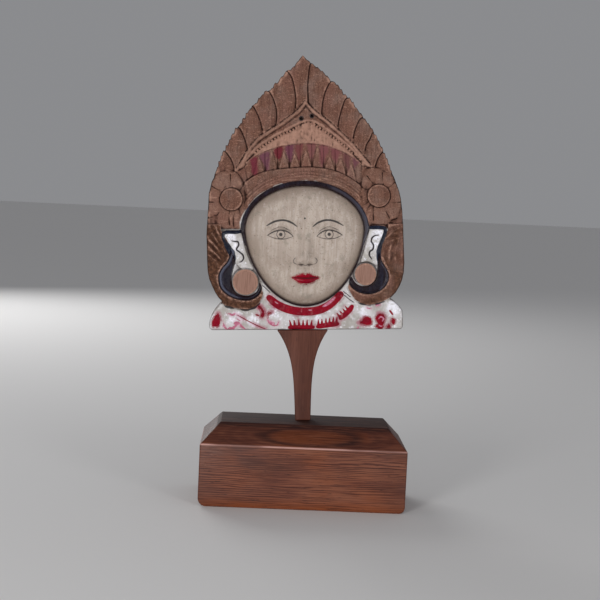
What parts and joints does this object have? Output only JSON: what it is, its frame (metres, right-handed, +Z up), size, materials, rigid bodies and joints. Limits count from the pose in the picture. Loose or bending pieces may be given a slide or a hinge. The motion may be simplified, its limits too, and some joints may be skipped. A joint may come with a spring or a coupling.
{
  "type": "carved wooden head plaque on a display stand",
  "caption": "Carved and painted wooden plaque of a crowned head in low relief, held upright by a flared post on a bevelled hardwood block.",
  "frame": {"origin": "centre of the base block's underside", "axes": "+Z up, -Y towards the viewer who faces the carving, +X to that viewer's right"},
  "size_m": [0.2098, 0.1, 0.4498],
  "materials": {
    "painted_carving": "dry bare wood with worn cream, red, navy and glossy white paint",
    "post_wood": "smooth oiled hardwood",
    "base_wood": "satin oiled hardwood with open grain"
  },
  "bodies": {
    "root": {"mask": "painted_carving", "post": "post_wood", "base": "base_wood"}
  },
  "joints": []
}
